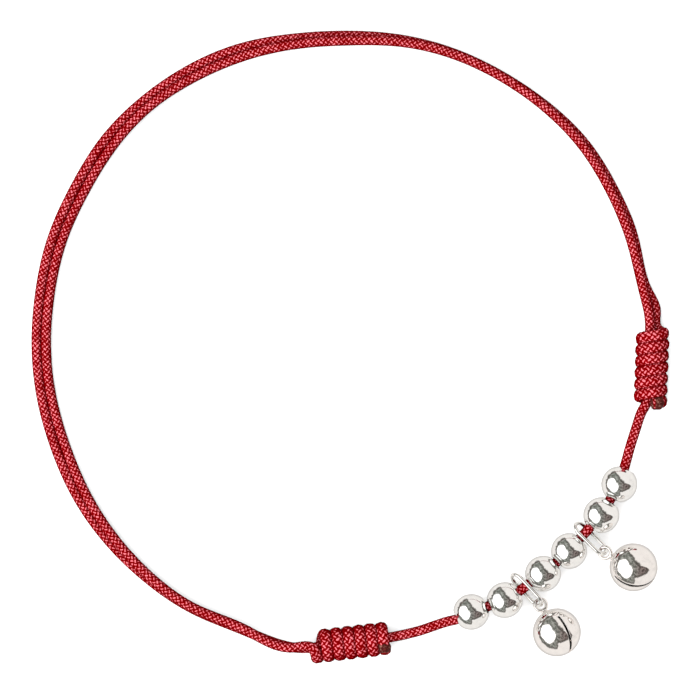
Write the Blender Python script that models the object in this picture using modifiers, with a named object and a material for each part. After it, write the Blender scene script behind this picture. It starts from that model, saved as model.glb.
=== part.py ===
"""Payal anklet: a red braided cord tied into an adjustable loop by two sliding knots, with drilled
silver beads in pairs and two silver jingle bells on oval links. It lies flat, as it would on a table.

The origin is the middle of the loop on the surface, +Z up. The double strand runs round the left
and the back, and the beads and bells lie at the front right (+X, -Y)."""

import math
from collections import namedtuple

import bmesh
import bpy
import numpy as np
from mathutils import Matrix, Vector

MM = 0.001

# Cord
CORD_DIAMETER = 1.15 * MM
STRAND_GAP = 0.13 * MM      # between two strands that lie against each other
END_GAP = 0.20 * MM         # where one length of cord meets the next, inside a knot
POINT_SPACING = 2.2         # cord diameters from one point of a tube to the next

# Beads
BEAD_DIAMETER = 4.50 * MM
BEAD_BORE = 1.90 * MM
BEAD_SIDES = 16
BEAD_ARC_STEPS = 9          # faces from rim to rim of a bead
BORE_CLEAR = 0.13 * MM      # from the cord to the bore where a bead leans on it

# Links
LINK_LENGTH = 5.60 * MM     # outside
LINK_WIRE = 0.50 * MM
LINK_CLEAR = 0.11 * MM      # from a link's wire to the cord and to the beads beside it
LINK_END_STEPS = 8          # straight pieces in each round end of a link

# Bells
BELL_DIAMETER = 6.00 * MM
BELL_WALL = 0.35 * MM
BELL_SIDES = 24
BELL_RINGS = 16
SLIT_WIDTH = 0.28 * MM
SLIT_REACH = math.radians(118)  # how far the slit climbs each side of the bell's lowest point
LOOP_WIRE = 0.44 * MM
LOOP_CLEAR = 0.25 * MM      # from a link's wire to the loop round it
NECK_DIAMETER = 0.90 * MM
NECK_HEIGHT = 0.08 * MM     # from the ball to the loop
NECK_SIDES = 12
SLIT_CUTTER_SIDES = 64
LOOP_STEPS = 20
LOOP_WIRE_SIDES = 8
PELLET_DIAMETER = 1.80 * MM
PELLET_CLEAR = 0.10 * MM
PELLET_SIDES = 12
PELLET_RINGS = 8

# Sliding knots
WRAP_WIDTH = 1.25 * MM      # along the knot; a wrap is the cord, pressed flat
WRAP_THICKNESS = 0.85 * MM
WRAP_GAP = 0.17 * MM
WRAP_SIDES = 8
WRAP_POINTS = 12            # points in each turn
BUNDLE_SIDEROOM = 0.05 * MM      # beside the pair of strands that a knot holds
BUNDLE_HEADROOM = 0.22 * MM      # above and below them
BUNDLE_CLEAR = 0.20 * MM    # from the strand that a knot slides on to its wraps
LEAD_LENGTH = 1.60 * MM     # how far the wrapping strand runs on while it turns into its first wrap
LEAD_TURN = math.radians(70)
LEAD_POINTS = 5

# The double strand's middle line, counterclockwise from the right knot to the left one, seen from
# above. The lean is how far the inner strand rides up over the outer one: 0 side by side, 90 on top.
# The lift is the share of the knots' own height that the strands have climbed there.
PairRow = namedtuple("PairRow", "x_mm y_mm lean_deg lift")
PAIR_ROUTE = [
    PairRow(37.05, 6.7, 64, 0.04),
    PairRow(35.4, 13.1, 71, 0.0),
    PairRow(32.9, 19.3, 70, 0.0),
    PairRow(29.4, 25.0, 72, 0.0),
    PairRow(24.64, 29.82, 81, 0.0),
    PairRow(19.16, 33.63, 86, 0.0),
    PairRow(13.07, 36.52, 84, 0.0),
    PairRow(6.48, 38.16, 75, 0.0),
    PairRow(-0.2, 38.51, 59, 0.0),
    PairRow(-6.89, 38.1, 52, 0.0),
    PairRow(-13.47, 36.75, 30, 0.0),
    PairRow(-19.74, 34.09, 26, 0.0),
    PairRow(-25.43, 30.27, 36, 0.0),
    PairRow(-30.14, 25.35, 10, 0.0),
    PairRow(-33.75, 19.55, 0, 0.0),
    PairRow(-36.51, 13.42, 0, 0.0),
    PairRow(-38.02, 6.89, 8, 0.0),
    PairRow(-38.51, 0.2, 12, 0.0),
    PairRow(-37.84, -6.39, 8, 0.0),
    PairRow(-36.01, -12.84, 8, 0.0),
    PairRow(-33.3, -18.9, 30, 0.0),
    PairRow(-29.5, -24.4, 54, 0.0),
    PairRow(-24.8, -29.1, 73, 0.0),
    PairRow(-19.25, -32.85, 82, 0.08),
    PairRow(-13.1, -35.4, 82, 0.42),
]

# The single strand between the knots. The lift is the share of the way up from the knots' core to
# the beads' bores.
StrandRow = namedtuple("StrandRow", "x_mm y_mm lift")
FRONT_START = [
    StrandRow(6.4, -36.05, 0.05),
    StrandRow(9.3, -35.3, 0.35),
    StrandRow(12.3, -34.3, 0.8),
]
FRONT_THREADED = [
    StrandRow(13.55, -34.0, 1.0),
    StrandRow(17.43, -32.34, 1.0),
    StrandRow(21.2, -30.5, 1.0),
    StrandRow(22.5, -29.5, 1.0),
    StrandRow(25.78, -26.95, 1.0),
    StrandRow(28.66, -24.05, 1.0),
    StrandRow(29.95, -22.62, 1.0),
    StrandRow(32.5, -19.15, 1.0),
    StrandRow(34.2, -15.4, 1.0),
]
MIDDLE_ROW = 4              # the row between the third and the fourth bead
FRONT_END = [
    StrandRow(35.0, -12.6, 0.7),
    StrandRow(35.92, -9.7, 0.25),
    StrandRow(36.48, -8.15, 0.0),
]

# Each knot's middle, the way from its double end to its single end, the side its wrapping strand
# comes in on (0 outward, 90 on top), the way it winds, its skew (0 an even helix, 1 all of a turn's
# advance made on the underside), the share of the room beside its core that the core has moved
# inward, and the share of its half length where the core begins to leave it.
Knot = namedtuple(
    "Knot", "name x_mm y_mm heading_deg start_deg winding turns skew core_inward core_leaves"
)
KNOTS = {
    "left": Knot("knot_left", 0.03, -36.97, 6.7, 102.0, -1, 6.06, 1.10, 0.0, 0.7),
    "right": Knot("knot_right", 37.7, -2.7, 268.0, -54.0, 1, 6.18, -0.3, 1.0, 0.98),
}

# The beads are threaded in pairs. The gap is from rim to rim within a pair. The hang is how far a
# bead sits outward on the cord, as a share of the cord's play in its bore.
PAIR_GAPS_MM = (0.36, 0.22, 0.36)
BEAD_HANGS = (-0.85, 0.7, 0.35, 0.4, 0.75, 0.75)

# Each link's plan heading away from the cord, its lean along the cord (positive towards the next
# bead) and how far its middle lies beyond the cord. Each bell's heading away from its loop, and the
# turns of its loop and its slit round its own axis, from level and from upright.
Charm = namedtuple(
    "Charm", "number heading_deg lean_deg beyond_mm bell_heading_deg loop_turn_deg slit_turn_deg"
)
CHARMS = [
    Charm(1, -47.0, 26.0, 0.45, -59.7, 12.0, 26.0),
    Charm(2, -44.5, -31.0, 0.98, -27.1, -12.0, -50.0),
]


def clear_scene():
    """Removes every object, so that the file holds the anklet alone."""
    for obj in list(bpy.data.objects):
        bpy.data.objects.remove(obj, do_unlink=True)


def new_collection(name):
    collection = bpy.data.collections.new(name)
    bpy.context.scene.collection.children.link(collection)
    return collection


def finish(name, color, roughness, metallic):
    material = bpy.data.materials.new(name)
    material.use_nodes = True
    shader = material.node_tree.nodes["Principled BSDF"]
    shader.inputs["Base Color"].default_value = (*color, 1.0)
    shader.inputs["Roughness"].default_value = roughness
    shader.inputs["Metallic"].default_value = metallic
    return material


def add_object(name, data, material, collection):
    obj = bpy.data.objects.new(name, data)
    if material is not None:
        data.materials.clear()
        data.materials.append(material)
    collection.objects.link(obj)
    return obj


def as_cutter(obj):
    """Marks a piece that only shapes another one."""
    obj.hide_render = True
    obj.display_type = "WIRE"
    return obj


def mesh_of(obj):
    """The object's mesh as its modifiers leave it, welded, in its own space."""
    depsgraph = bpy.context.evaluated_depsgraph_get()
    mesh = bpy.data.meshes.new_from_object(obj.evaluated_get(depsgraph))
    work = bmesh.new()
    work.from_mesh(mesh)
    bmesh.ops.remove_doubles(work, verts=work.verts, dist=1e-7)
    work.to_mesh(mesh)
    work.free()
    return mesh


def shade_round(mesh, sharp_deg=50.0):
    mesh.shade_smooth()
    mesh.set_sharp_from_angle(angle=math.radians(sharp_deg))


# Smooth routes

def cubic_through(points):
    """A natural cubic curve through the points, by chord length: returns its length of parameter and
    a function from parameters to points."""
    points = np.array(points, float)
    steps = np.linalg.norm(np.diff(points, axis=0), axis=1)
    at = np.concatenate([[0.0], np.cumsum(steps)])
    count = len(points)
    matrix = np.eye(count)
    right = np.zeros_like(points)
    for i in range(1, count - 1):
        before, after = steps[i - 1], steps[i]
        matrix[i, i - 1:i + 2] = before, 2 * (before + after), after
        right[i] = 6 * ((points[i + 1] - points[i]) / after - (points[i] - points[i - 1]) / before)
    bend = np.linalg.solve(matrix, right)

    def place(parameters):
        t = np.atleast_1d(parameters)
        i = np.clip(np.searchsorted(at, t, side="right") - 1, 0, count - 2)
        h = steps[i][:, None]
        left = (at[i + 1] - t)[:, None]
        gone = (t - at[i])[:, None]
        return (
            bend[i] * left ** 3 / (6 * h)
            + bend[i + 1] * gone ** 3 / (6 * h)
            + (points[i] / h - bend[i] * h / 6) * left
            + (points[i + 1] / h - bend[i + 1] * h / 6) * gone
        )

    return at, place


class Route:
    """A smooth line through chosen points, measured by its own length."""

    def __init__(self, points, fineness=24):
        self.at, place = cubic_through(points)
        fine = np.linspace(0.0, self.at[-1], fineness * len(points))
        self.points = place(fine)
        self.marks = np.concatenate(
            [[0.0], np.cumsum(np.linalg.norm(np.diff(self.points, axis=0), axis=1))]
        )
        self.length = float(self.marks[-1])
        self.fine = fine

    def mark_of(self, index):
        """The length of line up to one of the chosen points."""
        return float(np.interp(self.at[index], self.fine, self.marks))

    def point(self, mark):
        return np.array([np.interp(mark, self.marks, self.points[:, k]) for k in range(3)])

    def heading(self, mark, reach):
        """The line's direction at a mark, as the chord over a reach each side."""
        chord = self.point(mark + reach) - self.point(mark - reach)
        return chord / np.linalg.norm(chord)

    def even_points(self, spacing):
        count = max(2, round(self.length / spacing) + 1)
        return [self.point(mark) for mark in np.linspace(0.0, self.length, count)]


# Sizes that follow from the ones above

cord_radius = CORD_DIAMETER / 2
bead_radius = BEAD_DIAMETER / 2
bore_radius = BEAD_BORE / 2
bead_half_length = math.sqrt(bead_radius ** 2 - bore_radius ** 2)
strand_pitch = CORD_DIAMETER + STRAND_GAP

bundle_half_width = CORD_DIAMETER + BUNDLE_SIDEROOM
bundle_half_height = cord_radius + BUNDLE_HEADROOM
wrap_half_width = bundle_half_width + WRAP_THICKNESS / 2
wrap_half_height = bundle_half_height + WRAP_THICKNESS / 2
core_height = bundle_half_height + WRAP_THICKNESS
core_play = bundle_half_width - cord_radius - BUNDLE_CLEAR
bore_play = bore_radius - cord_radius - BORE_CLEAR
wrap_pitch = WRAP_WIDTH + WRAP_GAP

steepest_lean = max(abs(math.radians(charm.lean_deg)) for charm in CHARMS)
link_half_width = (cord_radius + LINK_WIRE / 2 + LINK_CLEAR) / math.cos(steepest_lean)
link_half_length = (LINK_LENGTH - LINK_WIRE) / 2

loop_radius = LINK_WIRE / 2 + LOOP_CLEAR + LOOP_WIRE / 2
bell_radius = BELL_DIAMETER / 2
loop_distance = bell_radius + NECK_HEIGHT + loop_radius + LOOP_WIRE / 2


def plan(angle_deg):
    """The level direction at an angle from +X."""
    angle = math.radians(angle_deg)
    return Vector((math.cos(angle), math.sin(angle), 0.0))


UP = Vector((0.0, 0.0, 1.0))


# The knots' own frames and the strands' ends in them

def knot_frame(knot):
    """The knot's middle, its direction from the double end to the single end, and outward."""
    middle = Vector((knot.x_mm * MM, knot.y_mm * MM, core_height))
    along = plan(knot.heading_deg)
    outward = Vector((middle.x, middle.y, 0.0))
    outward = (outward - outward.dot(along) * along).normalized()
    return middle, along, outward


def knot_half_length(knot):
    return knot.turns * wrap_pitch / 2


def core_point(knot, along_distance):
    """A point of the strand that the knot slides on."""
    middle, along, outward = knot_frame(knot)
    return middle + along * along_distance - outward * core_play * knot.core_inward


def wrap_path(knot):
    """The middle of the winding, as distances outward, up and along from the knot's middle. The
    wrapping strand first lies against the core, then swings out into its first turn."""
    start = math.radians(knot.start_deg)
    core_out = -core_play * knot.core_inward
    path = []
    for i in range(LEAD_POINTS):
        share = i / LEAD_POINTS
        angle = start + knot.winding * LEAD_TURN * share ** 2
        beside_core = (core_out + strand_pitch * math.cos(angle), strand_pitch * math.sin(angle))
        wound = (wrap_half_width * math.cos(angle), wrap_half_height * math.sin(angle))
        outward = beside_core[0] + (wound[0] - beside_core[0]) * share ** 2
        up = beside_core[1] + (wound[1] - beside_core[1]) * share ** 2
        path.append((outward, up, -knot_half_length(knot) - LEAD_LENGTH * (1 - share) ** 2))
    steps = round(WRAP_POINTS * knot.turns)
    from_top = (start - math.pi / 2) * knot.winding + LEAD_TURN
    for i in range(steps + 1):
        swept = math.tau * knot.turns * i / steps
        angle = start + knot.winding * (LEAD_TURN + swept)
        skew = math.sin(from_top) - math.sin(from_top + swept)
        along = (swept + knot.skew * skew) / math.tau * wrap_pitch - knot_half_length(knot)
        path.append((wrap_half_width * math.cos(angle), wrap_half_height * math.sin(angle), along))
    return path


def wrap_start(knot):
    """Where the wrapping strand ends against its knot, and a point before it."""
    middle, along, outward = knot_frame(knot)
    out_mm, up_mm, along_mm = wrap_path(knot)[0]
    start = middle + outward * out_mm + UP * up_mm + along * along_mm
    end = start - along * END_GAP
    return end, end - along * CORD_DIAMETER


# The three lengths of cord

def pair_point(row, before, after, side):
    """One strand's place at a row of the double stretch: side +1 outer, -1 inner."""
    lean = math.radians(row.lean_deg)
    forward = Vector((after.x_mm - before.x_mm, after.y_mm - before.y_mm, 0.0)).normalized()
    outward = Vector((forward.y, -forward.x, 0.0))
    floor = cord_radius + row.lift * (core_height - cord_radius)
    rise = strand_pitch * math.sin(lean) if side < 0 else 0.0
    apart = side * strand_pitch / 2 * math.cos(lean)
    return Vector((row.x_mm * MM, row.y_mm * MM, floor + rise)) + outward * apart


def pair_points(side):
    last = len(PAIR_ROUTE) - 1
    return [
        pair_point(row, PAIR_ROUTE[max(i - 1, 0)], PAIR_ROUTE[min(i + 1, last)], side)
        for i, row in enumerate(PAIR_ROUTE)
    ]


def outer_route():
    """From the right knot's first wrap, round the back and the left, into the left knot's core."""
    end, before = wrap_start(KNOTS["right"])
    left = KNOTS["left"]
    inside = -knot_half_length(left)
    return Route(
        [end, before]
        + pair_points(+1)
        + [core_point(left, inside - LEAD_LENGTH), core_point(left, inside / 2)]
        + [core_point(left, -END_GAP / 2)]
    )


def inner_route():
    """From the right knot's core, beside the outer strand, to the left knot's first wrap."""
    end, before = wrap_start(KNOTS["left"])
    right = KNOTS["right"]
    inside = -knot_half_length(right)
    return Route(
        [core_point(right, -END_GAP / 2), core_point(right, inside / 2)]
        + [core_point(right, inside - LEAD_LENGTH)]
        + pair_points(-1)
        + [before, end]
    )


def front_route():
    """From the left knot's core, through the beads, to the right knot's core."""
    left, right = KNOTS["left"], KNOTS["right"]

    def strand_point(row):
        height = core_height + row.lift * (bead_radius - core_height)
        return Vector((row.x_mm * MM, row.y_mm * MM, height))

    return Route(
        [core_point(left, END_GAP / 2), core_point(left, knot_half_length(left) * left.core_leaves)]
        + [strand_point(row) for row in FRONT_START + FRONT_THREADED + FRONT_END]
        + [core_point(right, knot_half_length(right) * right.core_leaves), core_point(right, END_GAP / 2)]
    )


# Where the beads and links sit on the cord

def link_room(charm):
    """From middle to middle of the two beads beside a link, which the link's wires just clear."""
    lean = math.radians(charm.lean_deg)
    wire_reach = bead_radius + LINK_WIRE / 2 + LINK_CLEAR
    wire_height = link_half_width * math.cos(lean)
    wire_offset = link_half_width * abs(math.sin(lean))
    return 2 * (wire_offset + math.sqrt(wire_reach ** 2 - wire_height ** 2))


def chain_marks(route):
    """The lengths along the front cord where the beads' and the links' middles lie."""
    pair_pitches = [2 * bead_half_length + gap * MM for gap in PAIR_GAPS_MM]
    rooms = [link_room(charm) for charm in CHARMS]
    middle = route.mark_of(2 + len(FRONT_START) + MIDDLE_ROW)
    third = middle - pair_pitches[1] / 2
    fourth = middle + pair_pitches[1] / 2
    second = third - rooms[0]
    fifth = fourth + rooms[1]
    beads = [second - pair_pitches[0], second, third, fourth, fifth, fifth + pair_pitches[2]]
    links = [(second + third) / 2, (fourth + fifth) / 2]
    return beads, links


# Pieces

def cord_tube(name, route, material, collection):
    curve = bpy.data.curves.new(name, "CURVE")
    curve.dimensions = "3D"
    curve.bevel_depth = cord_radius
    curve.bevel_resolution = 2
    curve.use_fill_caps = True
    points = route.even_points(POINT_SPACING * CORD_DIAMETER)
    spline = curve.splines.new("POLY")
    spline.points.add(len(points) - 1)
    for target, point in zip(spline.points, points):
        target.co = (*point, 1.0)
    return add_object(name, curve, material, collection)


def wrap_section(collection):
    """The pressed cord's outline, which the winding is swept with."""
    curve = bpy.data.curves.new("wrap_section", "CURVE")
    curve.dimensions = "2D"
    curve.fill_mode = "NONE"
    spline = curve.splines.new("POLY")
    spline.points.add(WRAP_SIDES - 1)
    for i, target in enumerate(spline.points):
        angle = -math.tau * (i + 0.5) / WRAP_SIDES
        target.co = (
            WRAP_THICKNESS / 2 * math.cos(angle),
            WRAP_WIDTH / 2 * math.sin(angle),
            0.0,
            1.0,
        )
    spline.use_cyclic_u = True
    return as_cutter(add_object("wrap_section", curve, None, collection))


def knot_coil(knot, section, material, collection):
    """The wraps, wound about the curve's own Z, which then turns to lie along the knot."""
    middle, along, outward = knot_frame(knot)
    hand = 1 if outward.cross(UP).dot(along) > 0 else -1
    curve = bpy.data.curves.new(knot.name, "CURVE")
    curve.dimensions = "3D"
    curve.twist_mode = "Z_UP"
    curve.bevel_mode = "OBJECT"
    curve.bevel_object = section
    curve.use_fill_caps = True
    path = wrap_path(knot)
    spline = curve.splines.new("POLY")
    spline.points.add(len(path) - 1)
    for target, (out_by, up_by, along_by) in zip(spline.points, path):
        target.co = (out_by, up_by, hand * along_by, 1.0)
    coil = add_object(knot.name, curve, material, collection)
    coil.matrix_world = frame_matrix(outward, UP, along * hand, middle)
    return coil


def frame_matrix(x_axis, y_axis, z_axis, origin):
    rotation = Matrix((x_axis, y_axis, z_axis)).transposed().to_4x4()
    return Matrix.Translation(origin) @ rotation


def bead_profile():
    """Half a bead's section: out along the bore's edge, round the ball and back down the bore."""
    rim_angle = math.asin(bore_radius / bead_radius)
    vertices = []
    for i in range(BEAD_ARC_STEPS + 1):
        angle = rim_angle + (math.pi - 2 * rim_angle) * i / BEAD_ARC_STEPS
        vertices.append((bead_radius * math.sin(angle), 0.0, bead_radius * math.cos(angle)))
    edges = [(i, (i + 1) % len(vertices)) for i in range(len(vertices))]
    mesh = bpy.data.meshes.new("bead_profile")
    mesh.from_pydata(vertices, edges, [])
    return mesh


def turned(obj, sides):
    screw = obj.modifiers.new("turn", "SCREW")
    screw.axis = "Z"
    screw.angle = math.tau
    screw.steps = sides
    screw.render_steps = sides
    screw.use_merge_vertices = True
    screw.merge_threshold = 1e-6
    screw.use_smooth_shade = True
    return obj


def make_beads(route, marks, material, collection):
    profile = bead_profile()
    for number, (mark, hang) in enumerate(zip(marks, BEAD_HANGS), start=1):
        bead = turned(add_object(f"bead_{number}", profile, material, collection), BEAD_SIDES)
        along = route.heading(mark, bead_half_length)
        along = Vector((along[0], along[1], 0.0)).normalized()
        ends = (Vector(route.point(mark - bead_half_length)), Vector(route.point(mark + bead_half_length)))
        place = (ends[0] + ends[1] + 2 * Vector(route.point(mark))) / 4
        outward = along.cross(UP)
        place += outward * bore_play * hang
        place.z = bead_radius
        bead.matrix_world = frame_matrix(outward, UP, along * outward.cross(UP).dot(along), place)


def make_link(charm, cord_place, material, collection):
    """An oval ring of wire round the cord. Returns the middle of the wire at its far end."""
    heading = plan(charm.heading_deg)
    side = UP.cross(heading)
    lean = math.radians(charm.lean_deg)
    across = UP * math.cos(lean) + side * math.sin(lean)
    curve = bpy.data.curves.new(f"link_{charm.number}", "CURVE")
    curve.dimensions = "3D"
    curve.bevel_depth = LINK_WIRE / 2
    curve.bevel_resolution = 1
    straight = link_half_length - link_half_width
    path = []
    for end in (1, -1):
        for i in range(LINK_END_STEPS + 1):
            angle = math.pi * (i / LINK_END_STEPS - 0.5)
            path.append(
                (
                    end * (straight + link_half_width * math.cos(angle)),
                    end * link_half_width * math.sin(angle),
                )
            )
    spline = curve.splines.new("POLY")
    spline.points.add(len(path) - 1)
    for target, (x, y) in zip(spline.points, path):
        target.co = (x, y, 0.0, 1.0)
    spline.use_cyclic_u = True
    link = add_object(f"link_{charm.number}", curve, material, collection)
    middle = Vector(cord_place) + heading * charm.beyond_mm * MM
    link.matrix_world = frame_matrix(heading, across, heading.cross(across), middle)
    return middle + heading * link_half_length


def bell_mesh(charm, guides):
    """A hollow ball with a slit over its lowest point and a loop soldered to its top. Its own +Z
    points to the loop and its +X lies level, so that the slit turned by 0 stands upright."""
    ball = bpy.data.meshes.new("bell_ball")
    work = bmesh.new()
    bmesh.ops.create_uvsphere(work, u_segments=BELL_SIDES, v_segments=BELL_RINGS, radius=bell_radius)
    work.to_mesh(ball)
    work.free()
    shell = as_cutter(add_object(f"bell_shell_{charm.number}", ball, None, guides))
    wall = shell.modifiers.new("wall", "SOLIDIFY")
    wall.thickness = BELL_WALL
    wall.offset = -1.0

    slit = cut_with(shell, slit_cutter(charm, guides), "DIFFERENCE")
    necked = cut_with(slit, neck_piece(charm, guides), "UNION")
    looped = cut_with(necked, loop_piece(charm, guides), "UNION")
    return mesh_of(looped)


def cut_with(obj, tool, operation):
    boolean = obj.modifiers.new(operation.lower(), "BOOLEAN")
    boolean.operation = operation
    boolean.solver = "EXACT"
    boolean.object = tool
    return obj


def round_bar(name, radius, length, sides, guides):
    mesh = bpy.data.meshes.new(name)
    work = bmesh.new()
    bmesh.ops.create_cone(
        work, cap_ends=True, segments=sides, radius1=radius, radius2=radius, depth=length
    )
    work.to_mesh(mesh)
    work.free()
    return as_cutter(add_object(name, mesh, None, guides))


def slit_cutter(charm, guides):
    """A thin disc hung so low that it leaves the top of the ball whole."""
    climb = -math.cos(SLIT_REACH) * bell_radius
    half_chord = math.sin(SLIT_REACH) * bell_radius
    radius = math.hypot(half_chord, climb + bell_radius)
    disc = round_bar(f"slit_{charm.number}", radius, SLIT_WIDTH, SLIT_CUTTER_SIDES, guides)
    turn = math.radians(charm.slit_turn_deg)
    disc.matrix_world = (
        Matrix.Rotation(turn, 4, "Z")
        @ Matrix.Translation((0.0, 0.0, -bell_radius))
        @ Matrix.Rotation(math.pi / 2, 4, "Y")
    )
    return disc


def neck_piece(charm, guides):
    height = BELL_WALL / 2 + NECK_HEIGHT + LOOP_WIRE / 2
    neck = round_bar(f"neck_{charm.number}", NECK_DIAMETER / 2, height, NECK_SIDES, guides)
    neck.location = (0.0, 0.0, bell_radius - BELL_WALL / 2 + height / 2)
    return neck


def loop_piece(charm, guides):
    bpy.ops.mesh.primitive_torus_add(
        major_radius=loop_radius,
        minor_radius=LOOP_WIRE / 2,
        major_segments=LOOP_STEPS,
        minor_segments=LOOP_WIRE_SIDES,
    )
    loop = bpy.context.object
    loop.name = f"loop_{charm.number}"
    for home in list(loop.users_collection):
        home.objects.unlink(loop)
    guides.objects.link(loop)
    turn = math.radians(charm.loop_turn_deg)
    loop.matrix_world = (
        Matrix.Translation((0.0, 0.0, loop_distance))
        @ Matrix.Rotation(turn, 4, "Z")
        @ Matrix.Rotation(math.pi / 2, 4, "X")
    )
    return as_cutter(loop)


def make_bell(charm, loop_place, material, pellet_material, collection, guides):
    """A bell that rests on the surface with its loop round the link's far end, and its pellet."""
    dip = math.asin((bell_radius - loop_place.z) / loop_distance)
    level = plan(charm.bell_heading_deg)
    to_foot = level * math.cos(dip) + UP * math.sin(dip)
    upward = UP * math.cos(dip) - level * math.sin(dip)
    sideways = upward.cross(-to_foot)
    middle = Vector(loop_place) + to_foot * loop_distance
    mesh = bell_mesh(charm, guides)
    mesh.name = f"bell_{charm.number}"
    shade_round(mesh, 40.0)
    bell = add_object(f"bell_{charm.number}", mesh, material, collection)
    bell.matrix_world = frame_matrix(sideways, upward, -to_foot, middle)

    pellet_mesh = bpy.data.meshes.new("pellet")
    work = bmesh.new()
    bmesh.ops.create_uvsphere(
        work, u_segments=PELLET_SIDES, v_segments=PELLET_RINGS, radius=PELLET_DIAMETER / 2
    )
    work.to_mesh(pellet_mesh)
    work.free()
    pellet = add_object(f"pellet_{charm.number}", pellet_mesh, pellet_material, collection)
    lowest = bell_radius - BELL_WALL - PELLET_CLEAR - PELLET_DIAMETER / 2
    pellet.location = middle - UP * lowest


def main():
    clear_scene()
    anklet = new_collection("payal_anklet")
    guides = new_collection("guides")

    braid = finish("braided_cord", (0.42, 0.006, 0.018), 0.62, 0.0)
    knot_braid = finish("knot_cord", (0.40, 0.006, 0.018), 0.62, 0.0)
    bead_silver = finish("bead_silver", (0.93, 0.92, 0.90), 0.08, 1.0)
    link_silver = finish("link_silver", (0.93, 0.92, 0.90), 0.12, 1.0)
    bell_silver = finish("bell_silver", (0.94, 0.91, 0.88), 0.09, 1.0)
    pellet_steel = finish("pellet_steel", (0.56, 0.56, 0.57), 0.3, 1.0)

    front = front_route()
    cord_tube("cord_front", front, braid, anklet)
    cord_tube("cord_outer", outer_route(), braid, anklet)
    cord_tube("cord_inner", inner_route(), braid, anklet)

    section = wrap_section(guides)
    for knot in KNOTS.values():
        knot_coil(knot, section, knot_braid, anklet)

    bead_marks, link_marks = chain_marks(front)
    make_beads(front, bead_marks, bead_silver, anklet)
    for charm, mark in zip(CHARMS, link_marks):
        loop_place = make_link(charm, front.point(mark), link_silver, anklet)
        make_bell(charm, loop_place, bell_silver, pellet_steel, anklet, guides)


main()
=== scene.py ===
"""Looks of the payal anklet: a red braided cord with two sliding knots, polished silver beads in
pairs, oval links and two jingle bells, lying on a pale table under soft studio light.

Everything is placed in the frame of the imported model, in metres, +Z up."""

from __future__ import annotations

import logging
import math
from dataclasses import dataclass, field
from enum import Enum
from typing import Callable, Sequence

import bpy
import numpy as np
from mathutils import Matrix, Vector


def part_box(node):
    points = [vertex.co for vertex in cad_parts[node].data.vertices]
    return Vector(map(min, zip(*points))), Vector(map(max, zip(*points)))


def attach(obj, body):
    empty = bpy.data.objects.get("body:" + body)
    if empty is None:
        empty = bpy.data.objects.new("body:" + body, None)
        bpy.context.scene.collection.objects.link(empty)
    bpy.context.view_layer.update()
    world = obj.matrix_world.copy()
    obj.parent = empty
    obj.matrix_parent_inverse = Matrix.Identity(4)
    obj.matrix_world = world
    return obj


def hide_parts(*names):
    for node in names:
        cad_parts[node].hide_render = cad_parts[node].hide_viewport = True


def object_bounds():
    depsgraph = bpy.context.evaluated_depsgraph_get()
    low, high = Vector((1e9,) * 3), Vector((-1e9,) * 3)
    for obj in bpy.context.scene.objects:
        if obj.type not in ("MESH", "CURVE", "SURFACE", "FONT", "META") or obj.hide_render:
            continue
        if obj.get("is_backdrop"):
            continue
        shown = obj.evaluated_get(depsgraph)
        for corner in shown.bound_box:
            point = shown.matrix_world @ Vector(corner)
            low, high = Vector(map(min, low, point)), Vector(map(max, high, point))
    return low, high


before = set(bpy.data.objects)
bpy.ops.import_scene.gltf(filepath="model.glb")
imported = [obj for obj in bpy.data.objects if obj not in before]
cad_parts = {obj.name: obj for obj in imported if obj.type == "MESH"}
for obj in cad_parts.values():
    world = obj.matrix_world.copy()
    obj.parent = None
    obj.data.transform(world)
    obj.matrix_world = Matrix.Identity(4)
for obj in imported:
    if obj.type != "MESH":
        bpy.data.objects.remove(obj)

MM = 0.001
UP = Vector((0.0, 0.0, 1.0))
Color = tuple[float, float, float]
Pair = tuple[float, float]
Socket = bpy.types.NodeSocket
log = logging.getLogger("anklet")

# Cord
CORD_DIAMETER = 1.15 * MM
CORD_RADIUS = CORD_DIAMETER / 2
STRAND_PITCH = 1.24 * MM      # two strands pressed together

# Sliding knots
WRAP_WIDTH = 1.25 * MM
WRAP_THICKNESS = 0.85 * MM
WRAP_PITCH = 1.42 * MM
BUNDLE_HALF_WIDTH = 1.20 * MM
BUNDLE_HALF_HEIGHT = 0.795 * MM
CORE_HEIGHT = BUNDLE_HALF_HEIGHT + WRAP_THICKNESS
CORE_PLAY = 0.425 * MM
LEAD_LENGTH = 1.60 * MM
LEAD_TURN = math.radians(70)
END_GAP = 0.20 * MM
WRAP_SWELL_BROAD = 0.05 * MM  # the yarns fill the gaps between the solids' wraps
WRAP_SWELL_TALL = 0.02 * MM
TIP_SUNK = 0.42 * MM          # the melted tip's ends lie below the cord's surface
TIP_SWELL = 0.56 * MM
TIP_LUMP = 0.05 * MM
TIP_PUSH = 0.25 * MM          # its far end is pushed on, and a little along the knot
TIP_PUSH_ALONG = 0.05 * MM

# Silver
BEAD_RADIUS = 2.25 * MM
BORE_RADIUS = 0.95 * MM
BORE_REACH = 0.9 * BEAD_RADIUS
LINK_LENGTH = 5.60 * MM
LINK_WIRE = 0.50 * MM
LINK_HALF_WIDTH = 1.09 * MM
BELL_RADIUS = 3.00 * MM
BELL_WALL = 0.35 * MM
SLIT_WIDTH = 0.28 * MM
SLIT_REACH = math.radians(118)
SLIT_FADE = 0.06              # radians over which the slit's broken edge runs out
LOOP_WIRE = 0.44 * MM
LOOP_RADIUS = 0.72 * MM
LOOP_DISTANCE = 4.02 * MM
SOLDER_FOOT_RADIUS = 0.72 * MM
SOLDER_NECK_RADIUS = 0.36 * MM
SOLDER_TOP = 3.24 * MM
SOLDER_SUNK = 0.01 * MM
PELLET_RADIUS = 0.90 * MM

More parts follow.
